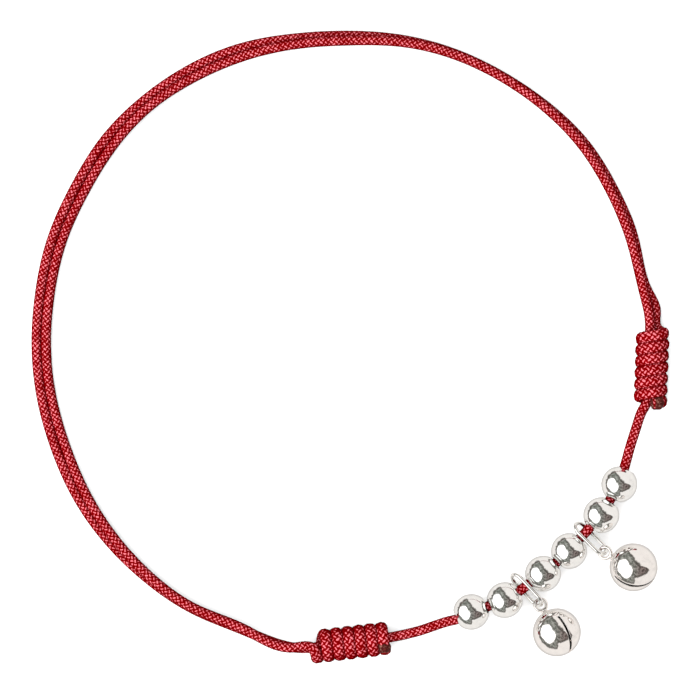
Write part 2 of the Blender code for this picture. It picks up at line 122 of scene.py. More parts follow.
# The double strand's middle line, from the right knot to the left one: x, y, lean and lift
PAIR_ROUTE = [
    (0.03705, 0.0067, 64, 0.04),
    (0.0354, 0.0131, 71, 0.0),
    (0.0329, 0.0193, 70, 0.0),
    (0.0294, 0.0250, 72, 0.0),
    (0.02464, 0.02982, 81, 0.0),
    (0.01916, 0.03363, 86, 0.0),
    (0.01307, 0.03652, 84, 0.0),
    (0.00648, 0.03816, 75, 0.0),
    (-0.0002, 0.03851, 59, 0.0),
    (-0.00689, 0.0381, 52, 0.0),
    (-0.01347, 0.03675, 30, 0.0),
    (-0.01974, 0.03409, 26, 0.0),
    (-0.02543, 0.03027, 36, 0.0),
    (-0.03014, 0.02535, 10, 0.0),
    (-0.03375, 0.01955, 0, 0.0),
    (-0.03651, 0.01342, 0, 0.0),
    (-0.03802, 0.00689, 8, 0.0),
    (-0.03851, 0.0002, 12, 0.0),
    (-0.03784, -0.00639, 8, 0.0),
    (-0.03601, -0.01284, 8, 0.0),
    (-0.0333, -0.0189, 30, 0.0),
    (-0.0295, -0.0244, 54, 0.0),
    (-0.0248, -0.0291, 73, 0.0),
    (-0.01925, -0.03285, 82, 0.08),
    (-0.0131, -0.0354, 82, 0.42),
]

# The single strand from the left knot to the right one: x, y and lift
FRONT_ROUTE = [
    (0.0064, -0.03605, 0.05),
    (0.0093, -0.0353, 0.35),
    (0.0123, -0.0343, 0.8),
    (0.01355, -0.0340, 1.0),
    (0.01743, -0.03234, 1.0),
    (0.0212, -0.0305, 1.0),
    (0.0225, -0.0295, 1.0),
    (0.02578, -0.02695, 1.0),
    (0.02866, -0.02405, 1.0),
    (0.02995, -0.02262, 1.0),
    (0.0325, -0.01915, 1.0),
    (0.0342, -0.0154, 1.0),
    (0.0350, -0.0126, 0.7),
    (0.03592, -0.0097, 0.25),
    (0.03648, -0.00815, 0.0),
]


class Slot(Enum):
    """The record's material slots."""

    BRAIDED_CORD = "braided_cord"
    KNOT_CORD = "knot_cord"
    BEAD_SILVER = "bead_silver"
    LINK_SILVER = "link_silver"
    BELL_SILVER = "bell_silver"
    PELLET_STEEL = "pellet_steel"


class Side(Enum):
    """Which strand of the double stretch."""

    OUTER = 1
    INNER = -1


def heading(angle_deg: float) -> Vector:
    """The level direction at an angle from +X."""
    angle = math.radians(angle_deg)
    return Vector((math.cos(angle), math.sin(angle), 0.0))


def axes_matrix(x_axis: Vector, y_axis: Vector, z_axis: Vector, origin: Vector) -> Matrix:
    """A placement from three unit axes and an origin."""
    rotation = Matrix((x_axis, y_axis, z_axis)).transposed().to_4x4()
    return Matrix.Translation(origin) @ rotation


def box_middle(node: str) -> Vector:
    """The middle of a CAD node's box."""
    low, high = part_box(node)
    return (Vector(low) + Vector(high)) / 2


# Nodes


class NodeGraph:
    """Short calls for building a node tree."""

    def __init__(self, tree: bpy.types.NodeTree) -> None:
        self.tree = tree

    def node(
        self, kind: str, inputs: dict[str | int, object] | None = None, **settings: object
    ) -> bpy.types.Node:
        """Adds a node.

        Args:
            kind: the node's Blender type name.
            inputs: sockets or plain values for its inputs.
            settings: property values by name.

        Returns:
            The new node.
        """
        made = self.tree.nodes.new(kind)
        for name, value in settings.items():
            setattr(made, name, value)
        self.fill(made, inputs or {})
        return made

    def fill(self, node: bpy.types.Node, inputs: dict[str | int, object]) -> None:
        """Links or sets some of a node's inputs, by name or number."""
        for key, value in inputs.items():
            if isinstance(value, Socket):
                self.tree.links.new(value, node.inputs[key])
            else:
                node.inputs[key].default_value = value

    def math(self, operation: str, *values: object, clamp: bool = False) -> Socket:
        """One Math node's result."""
        inputs = dict(enumerate(values))
        return self.node("ShaderNodeMath", inputs, operation=operation, use_clamp=clamp).outputs[0]

    def vector_math(self, operation: str, *values: object) -> Socket:
        """One Vector Math node's result."""
        made = self.node("ShaderNodeVectorMath", dict(enumerate(values)), operation=operation)
        return made.outputs["Value" if operation == "LENGTH" else "Vector"]

    def place(self, output: str) -> Socket:
        """One of the texture coordinates."""
        return self.node("ShaderNodeTexCoord").outputs[output]

    def split(self, vector: Socket) -> bpy.types.NodeOutputs:
        """A vector's X, Y and Z."""
        return self.node("ShaderNodeSeparateXYZ", {0: vector}).outputs

    def ramp(
        self, value: Socket, low: float, high: float, to_low: float = 0.0, to_high: float = 1.0
    ) -> Socket:
        """A smooth step from one range to another."""
        inputs = {
            "Value": value, "From Min": low, "From Max": high, "To Min": to_low, "To Max": to_high
        }
        made = self.node("ShaderNodeMapRange", inputs, interpolation_type="SMOOTHSTEP")
        return made.outputs["Result"]

    def noise(self, vector: Socket, scale: float, detail: float = 2.0, rough: float = 0.5) -> Socket:
        """A noise texture's value."""
        inputs = {"Vector": vector, "Scale": scale, "Detail": detail, "Roughness": rough}
        return self.node("ShaderNodeTexNoise", inputs).outputs["Fac"]

    def mix(self, share: Socket, *colors: Socket | Color) -> Socket:
        """A mix of two colours: the first at share 0, the second at 1."""
        first, second = ((*each, 1.0) if isinstance(each, tuple) else each for each in colors)
        inputs = {"Factor": share, 6: first, 7: second}
        return self.node("ShaderNodeMix", inputs, data_type="RGBA").outputs[2]

    def bump(self, height: Socket, strength: float, distance: float) -> Socket:
        """A bump node's normal."""
        inputs = {"Height": height, "Strength": strength, "Distance": distance}
        return self.node("ShaderNodeBump", inputs).outputs["Normal"]


def new_material(name: str) -> tuple[bpy.types.Material, NodeGraph, bpy.types.Node]:
    """An empty material, its graph and its shader."""
    material = bpy.data.materials.new(name)
    material.use_nodes = True
    graph = NodeGraph(material.node_tree)
    return material, graph, material.node_tree.nodes["Principled BSDF"]


@dataclass(frozen=True)
class YarnFinish:
    """Twisted polyester filaments, with a painted highlight on the crest of each float and painted
    shade between them.

    The cord's flanks and crevices are painted in shade, and its top keeps the painted highlight."""

    name: str
    # Painted highlight on the crests, the cord's red, and its darkest red, also its painted shade.
    bright: Color
    middle: Color
    deep_and_painted_shade: Color
    roughness: float = 0.5
    filaments: float = 6.0
    filament_twist: float = 2.2
    slack: float = 0.9
    slack_scale: float = 2100.0
    patch_scale: float = 1300.0
    patch_gain: float = 2.3
    patch_offset: float = -1.65
    grain_share: float = 0.6
    to_middle: Pair = (0.05, 0.50)
    to_bright: Pair = (0.46, 0.94)
    # Painted shade on the flanks: over this upward share of the normal the painted highlight drops
    # to the flanks' share.
    painted_top_light_from: Pair = (0.30, 0.82)
    flank_share: float = 0.2
    fibre_depth: float = 0.03 * MM

    def build(self) -> bpy.types.Material:
        """Returns:
            The material. It reads each yarn's UV: across it, and along it in crests.
        """
        material, graph, shader = new_material(self.name)
        stretch = (self.filaments, self.filament_twist, 1.0)
        stretched = graph.vector_math("MULTIPLY", graph.place("UV"), stretch)
        fibres = graph.noise(stretched, 1.0, 3.0, 0.6)
        patch = graph.noise(graph.place("Object"), self.patch_scale, 3.0)
        patch = graph.math("MULTIPLY_ADD", patch, self.patch_gain, self.patch_offset)
        uneven = graph.math("ADD", fibres, patch)
        # The yarn's uneven tone plus the painted highlight of its floats; low values fall to painted
        # shade.
        grain = graph.math("MULTIPLY_ADD", uneven, self.grain_share, self._painted_float_light(graph))
        body = graph.mix(graph.ramp(grain, *self.to_middle), self.deep_and_painted_shade, self.middle)
        looks = {
            "Base Color": graph.mix(graph.ramp(grain, *self.to_bright), body, self.bright),
            "Normal": graph.bump(fibres, 0.5, self.fibre_depth),
            "Roughness": self.roughness,
            "Specular IOR Level": 0.0,
            "IOR": 1.0,
        }
        graph.fill(shader, looks)
        return material

    def _painted_float_light(self, graph: NodeGraph) -> Socket:
        """How bright the painted highlight is: 1 on the middle of a float that faces up, less on its
        flanks.
        """
        yarn = graph.split(graph.place("UV"))
        loose = graph.noise(graph.place("Object"), self.slack_scale, 2.0)
        sideways = graph.math("MULTIPLY_ADD", loose, self.slack, -self.slack / 2)
        shifted = graph.math("ADD", yarn["X"], sideways)
        off_middle = graph.math("ABSOLUTE", graph.math("MULTIPLY_ADD", shifted, 2.0, -1.0))
        crown = graph.ramp(graph.math("SUBTRACT", 1.0, off_middle, clamp=True), 0.25, 0.95)
        turns = graph.math("MULTIPLY_ADD", yarn["Y"], math.tau, sideways)
        crest = graph.ramp(graph.math("COSINE", turns), -0.6, 0.7)
        # Painted shade: surfaces that turn away from straight up lose the painted highlight.
        facing = graph.split(graph.node("ShaderNodeNewGeometry").outputs["Normal"])
        painted_top_light = graph.ramp(facing["Z"], *self.painted_top_light_from, self.flank_share, 1.0)
        return graph.math("MULTIPLY", graph.math("MULTIPLY", crown, crest), painted_top_light)


@dataclass(frozen=True)
class SilverFinish:
    """Tumble-polished silver: near mirror, with faint dents, fine scratches and handling marks."""

    name: str
    color: Color
    roughness: float
    dent_size: float = 1.1 * MM
    dent_depth: float = 0.004 * MM
    scratch_stretch: tuple[float, float, float] = (9000.0, 1400.0, 2600.0)
    scratch_share: float = 0.08
    wear_scale: float = 700.0
    worn: Pair = (0.7, 1.6)
    tarnished: float = 0.86

    def build(self) -> bpy.types.Material:
        """Returns:
            The material, in object space.
        """
        material, graph, shader = new_material(self.name)
        place = graph.place("Object")
        dents = graph.noise(place, 1.0 / self.dent_size, 2.0)
        stretched = graph.vector_math("MULTIPLY", place, self.scratch_stretch)
        scratches = graph.noise(stretched, 1.0, 4.0, 0.7)
        wear = graph.noise(place, self.wear_scale, 4.0, 0.6)
        height = graph.math("MULTIPLY_ADD", scratches, self.scratch_share, dents)
        tarnish = tuple(value * self.tarnished for value in self.color)
        looks = {
            "Base Color": graph.mix(graph.ramp(wear, 0.5, 0.8), self.color, tarnish),
            "Normal": graph.bump(height, 0.35, self.dent_depth),
            "Roughness": graph.ramp(wear, 0.35, 0.75, *(self.roughness * by for by in self.worn)),
            "Metallic": 1.0,
        }
        graph.fill(shader, looks)
        return material


@dataclass(frozen=True)
class SingedFinish:
    """Cord that a flame has melted into a hard, lumpy bead with specks of ash."""

    name: str
    brown: Color
    red: Color
    ash: Color
    roughness: float = 0.6
    char_scale: float = 2600.0
    ash_scale: float = 3000.0
    lump_depth: float = 0.06 * MM

    def build(self) -> bpy.types.Material:
        """Returns:
            The material, in object space.
        """
        material, graph, shader = new_material(self.name)
        place = graph.place("Object")
        char = graph.noise(place, self.char_scale, 4.0, 0.6)
        speck = graph.noise(place, self.ash_scale, 3.0, 0.7)
        melt = graph.mix(graph.ramp(char, 0.42, 0.62), self.brown, self.red)
        looks = {
            "Base Color": graph.mix(graph.ramp(speck, 0.54, 0.66), melt, self.ash),
            "Normal": graph.bump(char, 0.6, self.lump_depth),
            "Roughness": self.roughness,
            "Specular IOR Level": 0.1,
        }
        graph.fill(shader, looks)
        return material


@dataclass(frozen=True)
class TableFinish:
    """A matt white tabletop."""

    name: str
    color: Color
    roughness: float = 0.9
    grain_scale: float = 400.0
    dimmed: float = 0.97

    def build(self) -> bpy.types.Material:
        """Returns:
            The material, with a trace of unevenness.
        """
        material, graph, shader = new_material(self.name)
        grain = graph.noise(graph.place("Object"), self.grain_scale, 3.0)
        dimmer = tuple(value * self.dimmed for value in self.color)
        looks = {
            "Base Color": graph.mix(grain, dimmer, self.color),
            "Roughness": self.roughness,
            "Specular IOR Level": 0.0,
        }
        graph.fill(shader, looks)
        return material


# Meshes


@dataclass
class MeshParts:
    """Vertices and quads gathered from grids into one mesh.

    A grid is rows by columns of points. Its faces look along (next column) x (next row)."""

    points: list[np.ndarray] = field(default_factory=list)
    quads: list[np.ndarray] = field(default_factory=list)
    uvs: list[np.ndarray] = field(default_factory=list)
    count: int = 0

    def add_grid(
        self,
        grid: np.ndarray,
        uv: np.ndarray | None = None,
        wrap: bool = False,
        flip: bool = False,
        keep: np.ndarray | None = None,
    ) -> None:
        """Adds one grid.

        Args:
            grid: points, rows by columns by 3.
            uv: the points' UVs, rows by columns by 2.
            wrap: whether the last column joins the first.
            flip: whether the faces look the other way.
            keep: which quads to keep, rows - 1 by quad columns.
        """
        rows, columns = grid.shape[:2]
        index = self.count + np.arange(rows * columns).reshape(rows, columns)
        after = np.roll(index, -1, axis=1) if wrap else index[:, 1:]
        before = index if wrap else index[:, :-1]
        quads = np.stack([before[:-1], after[:-1], after[1:], before[1:]], axis=-1)
        if keep is not None:
            quads = quads[keep]
        quads = quads.reshape(-1, 4)
        self.quads.append(quads[:, ::-1] if flip else quads)
        self.points.append(grid.reshape(-1, 3))
        flat = np.zeros((rows * columns, 2)) if uv is None else uv.reshape(-1, 2)
        self.uvs.append(flat)
        self.count += rows * columns

    def build(self, name: str) -> bpy.types.Mesh:
        """Returns:
            A smooth-shaded mesh with one UV map.
        """
        mesh = bpy.data.meshes.new(name)
        points = np.concatenate(self.points)
        quads = np.concatenate(self.quads)
        mesh.from_pydata(points.tolist(), [], quads.tolist())
        layer = mesh.uv_layers.new(name="UVMap")
        corners = np.concatenate(self.uvs)[quads.reshape(-1)]
        layer.data.foreach_set("uv", corners.reshape(-1).astype(np.float32))
        mesh.shade_smooth()
        mesh.validate()
        return mesh


def round_angles(count: int) -> np.ndarray:
    """Even angles once round, the last one short of the first."""
    return np.linspace(0.0, math.tau, count, endpoint=False)


def turned_grid(profile: Sequence[Pair], sides: int) -> np.ndarray:
    """Points of a profile of radius and height turned round +Z, from its first point onward."""
    angles = round_angles(sides)
    radii = np.array([point[0] for point in profile])[:, None]
    heights = np.array([point[1] for point in profile])[:, None]
    return np.stack(
        [radii * np.cos(angles), radii * np.sin(angles), heights + 0.0 * angles], axis=-1
    )


def moved(grid: np.ndarray, matrix: Matrix) -> np.ndarray:
    """A grid of points under a placement."""
    table = np.array(matrix)
    return grid @ table[:3, :3].T + table[:3, 3]


def wrapped_mesh(name: str, grid: np.ndarray) -> bpy.types.Mesh:
    """The mesh of one grid whose last column joins the first."""
    parts = MeshParts()
    parts.add_grid(grid, wrap=True)
    return parts.build(name)


def new_object(name: str, data: bpy.types.ID) -> bpy.types.Object:
    """A new object in the scene."""
    made = bpy.data.objects.new(name, data)
    bpy.context.scene.collection.objects.link(made)
    return made


def add_piece(
    name: str, mesh: bpy.types.Mesh, material: bpy.types.Material, slot: Slot, *nodes: str
) -> bpy.types.Object:
    """Adds a piece of the anklet.

    Args:
        name: the piece's name.
        mesh: its mesh, in the model's frame.
        material: its finish.
        slot: the record's slot that it stands for; not used.
        nodes: the CAD nodes that it replaces.

    Returns:
        The piece.
    """
    piece = new_object(name, mesh)
    mesh.materials.append(material)
    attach(piece, "root")
    if nodes:
        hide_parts(*nodes)
    log.info("%s: %d faces", name, len(mesh.polygons))
    return piece


# Routes


def run_lengths(points: np.ndarray) -> np.ndarray:
    """The length of a line up to each of its points."""
    steps = np.linalg.norm(np.diff(points, axis=0), axis=1)
    return np.concatenate([[0.0], np.cumsum(steps)])


def read_along(marks: np.ndarray | float, known: np.ndarray, values: np.ndarray) -> np.ndarray:
    """Values known at some lengths along a line, read at others."""
    if values.ndim == 1:
        return np.interp(marks, known, values)
    return np.stack([np.interp(marks, known, values[:, k]) for k in range(3)], axis=-1)


class Route:
    """A smooth line through given points, measured by its own length."""

    def __init__(self, chosen: Sequence[Vector], fineness: int = 40) -> None:
        points = np.array([tuple(point) for point in chosen], float)
        steps = np.linalg.norm(np.diff(points, axis=0), axis=1)
        at = run_lengths(points)
        bend = self._bends(points, steps)
        fine = np.linspace(0.0, at[-1], fineness * len(points))
        span = np.clip(np.searchsorted(at, fine, side="right") - 1, 0, len(points) - 2)
        h = steps[span][:, None]
        left = (at[span + 1] - fine)[:, None]
        gone = (fine - at[span])[:, None]
        self.points = (
            bend[span] * left**3 / (6 * h)
            + bend[span + 1] * gone**3 / (6 * h)
            + (points[span] / h - bend[span] * h / 6) * left
            + (points[span + 1] / h - bend[span + 1] * h / 6) * gone
        )
        self.marks = run_lengths(self.points)

    @staticmethod
    def _bends(points: np.ndarray, steps: np.ndarray) -> np.ndarray:
        """Second derivatives of the natural cubic through the points."""
        count = len(points)
        matrix = np.eye(count)
        right = np.zeros_like(points)
        for i in range(1, count - 1):
            before, after = steps[i - 1], steps[i]
            matrix[i, i - 1 : i + 2] = before, 2 * (before + after), after
            right[i] = 6 * (
                (points[i + 1] - points[i]) / after - (points[i] - points[i - 1]) / before
            )
        return np.linalg.solve(matrix, right)

    @property
    def length(self) -> float:
        """The line's whole length."""
        return float(self.marks[-1])

    def point(self, mark: float) -> Vector:
        """The point at a length along the line."""
        return Vector(read_along(mark, self.marks, self.points).tolist())

    def even(self, spacing: float) -> np.ndarray:
        """Evenly spaced points."""
        marks = np.linspace(0.0, self.length, max(2, round(self.length / spacing) + 1))
        return read_along(marks, self.marks, self.points)

    def nearest_mark(self, place: Vector) -> float:
        """The length along the line nearest to a place."""
        gaps = np.linalg.norm(self.points - np.array(place), axis=1)
        return float(self.marks[int(np.argmin(gaps))])


@dataclass(frozen=True)
class KnotPlan:
    """A sliding knot's place and winding.

    Its heading points from the double end to the single end. The start is the side on which its
    wrapping strand comes in: 0 outward, 90 on top. The skew is 0 for an even helix and 1 where all
    of a turn's advance is made on the underside. The core lies in the middle of the bundle or
    wholly inward, 0 or 1, and leaves the knot straight up to a share of its half length."""

    node: str
    middle: Vector
    heading_deg: float
    start_deg: float
    winding: int
    turns: float
    skew: float
    core_inward: float
    core_leaves: float

    @property
    def half_length(self) -> float:
        """From the knot's middle to its last wrap."""
        return self.turns * WRAP_PITCH / 2

    def axes(self) -> tuple[Vector, Vector, Vector]:
        """Returns:
            The knot's middle, the way along it and the way outward.
        """
        along = heading(self.heading_deg)
        outward = Vector((self.middle.x, self.middle.y, 0.0))
        outward = (outward - outward.dot(along) * along).normalized()
        return self.middle, along, outward

    def core_point(self, distance: float) -> Vector:
        """A point of the strand that the knot slides on."""
        middle, along, outward = self.axes()
        return middle + along * distance - outward * CORE_PLAY * self.core_inward

    def lead(self, share: float) -> tuple[float, float, float]:
        """The wrapping strand's way in, as distances outward, up and along.

        Args:
            share: 0 beside the core, 1 where the first wrap begins.
        """
        angle = math.radians(self.start_deg) + self.winding * LEAD_TURN * share**2
        core_out = -CORE_PLAY * self.core_inward
        beside = (core_out + STRAND_PITCH * math.cos(angle), STRAND_PITCH * math.sin(angle))
        wound = self.wound(angle)
        outward = beside[0] + (wound[0] - beside[0]) * share**2
        up = beside[1] + (wound[1] - beside[1]) * share**2
        return outward, up, -self.half_length - LEAD_LENGTH * (1 - share) ** 2

    @staticmethod
    def wound(angle: float) -> Pair:
        """A wrap's middle line round the bundle, as distances outward and up."""
        half_width = BUNDLE_HALF_WIDTH + WRAP_THICKNESS / 2
        half_height = BUNDLE_HALF_HEIGHT + WRAP_THICKNESS / 2
        return half_width * math.cos(angle), half_height * math.sin(angle)

    def wrap_start(self) -> tuple[Vector, Vector]:
        """Where the wrapping strand's free run ends, and a point before it."""
        middle, along, outward = self.axes()
        out_by, up_by, along_by = self.lead(0.0)
        end = middle + outward * out_by + UP * up_by + along * (along_by - END_GAP)
        return end, end - along * CORD_DIAMETER


LEFT_KNOT = KnotPlan(
    "knot_left",
    Vector((0.00003, -0.03697, CORE_HEIGHT)),
    heading_deg=6.7,
    start_deg=102.0,
    winding=-1,
    turns=6.06,
    skew=1.10,
    core_inward=0.0,
    core_leaves=0.7,
)
RIGHT_KNOT = KnotPlan(
    "knot_right",
    Vector((0.0377, -0.0027, CORE_HEIGHT)),
    heading_deg=268.0,
    start_deg=-54.0,
    winding=1,
    turns=6.18,
    skew=-0.3,
    core_inward=1.0,
    core_leaves=0.98,
)


def pair_points(side: Side) -> list[Vector]:
    """One strand's chosen points in the double stretch."""
    places = [Vector((x, y, 0.0)) for x, y, _, _ in PAIR_ROUTE]
    last = len(places) - 1
    points = []
    for i, (_, _, lean_deg, lift) in enumerate(PAIR_ROUTE):
        forward = (places[min(i + 1, last)] - places[max(i - 1, 0)]).normalized()
        outward = Vector((forward.y, -forward.x, 0.0))
        lean = math.radians(lean_deg)
        height = CORD_RADIUS + lift * (CORE_HEIGHT - CORD_RADIUS)
        if side is Side.INNER:
            height += STRAND_PITCH * math.sin(lean)
        apart = side.value * STRAND_PITCH / 2 * math.cos(lean)
        points.append(places[i] + outward * apart + UP * height)
    return points


def outer_route() -> Route:
    """From the right knot's first wrap, round the back and the left, into the left knot."""
    end, before = RIGHT_KNOT.wrap_start()
    inside = -LEFT_KNOT.half_length
    return Route(
        [end, before]
        + pair_points(Side.OUTER)
        + [LEFT_KNOT.core_point(inside - LEAD_LENGTH), LEFT_KNOT.core_point(inside / 2)]
        + [LEFT_KNOT.core_point(-END_GAP / 2)]
    )


def inner_route() -> Route:
    """From the right knot, beside the outer strand, to the left knot's first wrap."""
    end, before = LEFT_KNOT.wrap_start()
    inside = -RIGHT_KNOT.half_length
    return Route(
        [RIGHT_KNOT.core_point(-END_GAP / 2), RIGHT_KNOT.core_point(inside / 2)]
        + [RIGHT_KNOT.core_point(inside - LEAD_LENGTH)]
        + pair_points(Side.INNER)
        + [before, end]
    )


def front_route() -> Route:
    """From the left knot, through the beads, to the right knot."""
    middle = [
        Vector((x, y, CORE_HEIGHT + lift * (BEAD_RADIUS - CORE_HEIGHT)))
        for x, y, lift in FRONT_ROUTE
    ]
    left, right = LEFT_KNOT, RIGHT_KNOT
    return Route(
        [left.core_point(END_GAP / 2), left.core_point(left.half_length * left.core_leaves)]
        + middle
        + [right.core_point(right.half_length * right.core_leaves), right.core_point(END_GAP / 2)]
    )


# Braid


@dataclass
class SweptLine:
    """A cord's middle line with its section's own axes at every sample.

    The section is an ellipse. Angle 0 is its broad way and 90 its tall way."""

    points: np.ndarray
    tall: np.ndarray
    half_broad: np.ndarray
    half_tall: np.ndarray

    def __post_init__(self) -> None:
        self.marks = run_lengths(self.points)
        tangent = np.gradient(self.points, axis=0)
        tangent /= np.linalg.norm(tangent, axis=1)[:, None]
        broad = np.cross(tangent, self.tall)
        self.broad = broad / np.linalg.norm(broad, axis=1)[:, None]
        self.tall = np.cross(self.broad, tangent)

    @property
    def length(self) -> float:
        """The middle line's length."""
        return float(self.marks[-1])

    def at(self, marks: np.ndarray, values: np.ndarray) -> np.ndarray:
        """Values of the samples read at lengths along the line."""
        return read_along(marks, self.marks, values)

    def place(self, marks: np.ndarray, angles: np.ndarray, inset: np.ndarray) -> np.ndarray:
        """Points round the section, an inset below the cord's nominal surface."""
        broad = self.at(marks, self.half_broad) - inset
        tall = self.at(marks, self.half_tall) - inset
        return (
            self.at(marks, self.points)
            + self.at(marks, self.broad) * (broad * np.cos(angles))[..., None]
            + self.at(marks, self.tall) * (tall * np.sin(angles))[..., None]
        )


@dataclass(frozen=True)
class BraidPattern:
    """Flat yarns, as many each way, that pass over and under each other one by one."""

    lay: float = 3.8 * MM
    yarns_each_way: int = 6
    yarn_width: float = 0.38 * MM
    crown: float = 0.08 * MM    # from a yarn's middle down to its edges
    wave: float = 0.040 * MM    # its rise and fall along its run
    swell: float = 0.085 * MM   # its crests above the cord's nominal surface
    samples_per_lay: int = 36
    across: int = 5
    core_inset: float = -0.05 * MM
    core_sides: int = 12
    # The core's UV gives it the painted shade of the crevices between the floats.
    core_shade_uv: Pair = (-1.0, 0.5)  # beside every float, so that the core stays dark
    uv_step: int = 8            # whole crests, so that each yarn has a grain of its own

    def dress(self, line: SweptLine, phase_mark: float = 0.0, phase_angle: float = 0.0) -> MeshParts:
        """Lays the yarns along a line.

        Args:
            line: the cord's middle line.
            phase_mark: how far into the pattern the line begins.
            phase_angle: how far the pattern is turned round the line.

        Returns:
            The yarns, and the core in painted shade that shows between them.
        """
        parts = MeshParts()
        count = max(8, round(line.length / self.lay * self.samples_per_lay))
        marks = np.linspace(0.0, line.length, count + 1)[:, None]
        share = np.linspace(-1.0, 1.0, self.across)[None, :]
        radius = float(np.mean(line.half_broad + line.half_tall)) / 2 - self.crown
        slope = math.atan2(math.tau * radius, self.lay)
        for way in (1, -1):
            side = share * self.yarn_width / 2
            here = marks - way * side * math.sin(slope)
            turn = side * math.cos(slope) / radius
            waves = self.yarns_each_way * (marks + phase_mark) / self.lay
            rise = self.wave * way * np.cos(math.tau * waves)
            inset = self.wave - self.swell + self.crown * share**2 - rise
            for yarn in range(self.yarns_each_way):
                angle = (
                    way * math.tau * (marks + phase_mark) / self.lay
                    + math.tau * yarn / self.yarns_each_way
                    + turn
                    + phase_angle
                )
                grid = line.place(np.clip(here, 0.0, line.length), angle, inset)
                crest = waves + 0.5 * (way < 0) + self.uv_step * yarn
                uv = np.stack(np.broadcast_arrays((share + 1) / 2, crest), axis=-1)
                parts.add_grid(grid, uv)
        rings = max(4, count // 3)
        marks = np.linspace(0.0, line.length, rings + 1)[:, None]
        angles = round_angles(self.core_sides)[None, :]
        core = line.place(marks + 0 * angles, angles + 0 * marks, self.core_inset + 0 * angles)
        parts.add_grid(core, np.broadcast_to(self.core_shade_uv, (*core.shape[:2], 2)), wrap=True)
        return parts


@dataclass
class Strand:
    """One free run of the braided cord."""

    name: str
    node: str
    route: Callable[[], Route]
    pattern: BraidPattern
    turned: float = math.pi / 12
    sample_spacing: float = 0.25 * MM
    path_spacing: float = 2.0 * CORD_DIAMETER

    def line(self) -> SweptLine:
        """Returns:
            The strand's middle line, its section round and its tall way up.
        """
        points = self.route().even(self.sample_spacing)
        tall = np.tile([0.0, 0.0, 1.0], (len(points), 1))
        half = np.full(len(points), CORD_RADIUS)
        return SweptLine(points, tall, half, half)

    def build(self, material: bpy.types.Material) -> None:
        line = self.line()
        piece = add_piece(
            self.name,
            self.pattern.dress(line, 0.0, self.turned).build(self.name),
            material,
            Slot.BRAIDED_CORD,
            self.node,
        )
        path = self.route().even(self.path_spacing)


@dataclass
class SlidingKnot:
    """A knot's wraps: the end of one strand wound round the other, its tip melted."""

    name: str
    plan: KnotPlan
    pattern: BraidPattern
    incoming: Strand
    lead_samples: int = 24
    turn_samples: int = 64
    upright: float = 1.3  # above 1, the flat side of a wrap faces up more than out
    tip_length: float = 1.7 * MM
    tip_rings: int = 30
    tip_sides: int = 36

    def line(self) -> SweptLine:
        """Returns:
            The winding's middle line: round beside the core, pressed flat once it wraps.
        """
        plan = self.plan
        middle, along, outward = plan.axes()
        steps = round(self.turn_samples * plan.turns)
        start = math.radians(plan.start_deg)
        from_top = (start - math.pi / 2) * plan.winding + LEAD_TURN
        rows = []
        flat = []
        for i in range(self.lead_samples):
            share = i / self.lead_samples
            out_by, up_by, along_by = plan.lead(share)
            run_in = -END_GAP if i == 0 else 0.0
            rows.append((out_by, up_by, along_by + run_in))
            flat.append(share)
        for i in range(steps + 1):
            swept = math.tau * plan.turns * i / steps
            angle = start + plan.winding * (LEAD_TURN + swept)
            skew = math.sin(from_top) - math.sin(from_top + swept)
            along_by = (swept + plan.skew * skew) / math.tau * WRAP_PITCH - plan.half_length
            rows.append((*plan.wound(angle), along_by))
            flat.append(1.0)
        table = np.array(rows)
        axes = np.array([tuple(outward), tuple(UP), tuple(along)])
        points = table @ axes + np.array(middle)
        flat_share = np.array(flat)
        off_core = table[:, 0] + CORE_PLAY * plan.core_inward * (1 - flat_share)
        radial = np.stack([off_core, table[:, 1] * self.upright, 0 * off_core], axis=1) @ axes
        radial /= np.linalg.norm(radial, axis=1)[:, None]
        broad = CORD_RADIUS + (WRAP_WIDTH / 2 + WRAP_SWELL_BROAD - CORD_RADIUS) * flat_share
        tall = CORD_RADIUS + (WRAP_THICKNESS / 2 + WRAP_SWELL_TALL - CORD_RADIUS) * flat_share
        return SweptLine(points, radial, broad, tall)

    def build(self, material: bpy.types.Material, singed: bpy.types.Material) -> None:
        """Adds the wraps and the melted tip."""
        line = self.line()
        strand = self.incoming.line()
        at_end = self.incoming.node == "cord_inner"
        broad = strand.broad[-1 if at_end else 0]
        angle = math.atan2(float(broad @ line.tall[0]), float(broad @ line.broad[0]))
        angle += self.incoming.turned
        phase = strand.length if at_end else 0.0
        parts = self.pattern.dress(line, phase, angle)
        add_piece(self.name, parts.build(self.name), material, Slot.KNOT_CORD, self.plan.node)
        self._add_tip(line, singed)

    def _add_tip(self, line: SweptLine, singed: bpy.types.Material) -> None:
        """A rounded, lumpy blob over the last stretch of the winding."""
        share = np.linspace(0.0, 1.0, self.tip_rings)[:, None]
        angles = round_angles(self.tip_sides)[None, :]
        marks = line.length - self.tip_length * (1 - share) + 0 * angles
        lumps = np.sin(3 * angles + 5 * share) * np.cos(2 * angles - 7 * share)
        girth = np.clip(1 - np.abs(2 * share**0.8 - 1) ** 2.6, 0.0, 1.0) ** 0.5
        inset = TIP_SUNK - TIP_SWELL * girth - TIP_LUMP * lumps * girth
        grid = line.place(marks, angles + 0 * share, inset)
        _, along, _ = self.plan.axes()
        tangent = line.points[-1] - line.points[-2]
        tangent = tangent / np.linalg.norm(tangent)
        push = tangent * TIP_PUSH + np.array(along) * TIP_PUSH_ALONG
        grid = grid + push * share[..., None] ** 2
        start, end = (np.tile(grid[i].mean(axis=0), (1, self.tip_sides, 1)) for i in (0, -1))
        name = f"{self.name}_tip"
        grid = np.concatenate([start, grid, end])
        add_piece(name, wrapped_mesh(name, grid), singed, Slot.KNOT_CORD)


# Silver


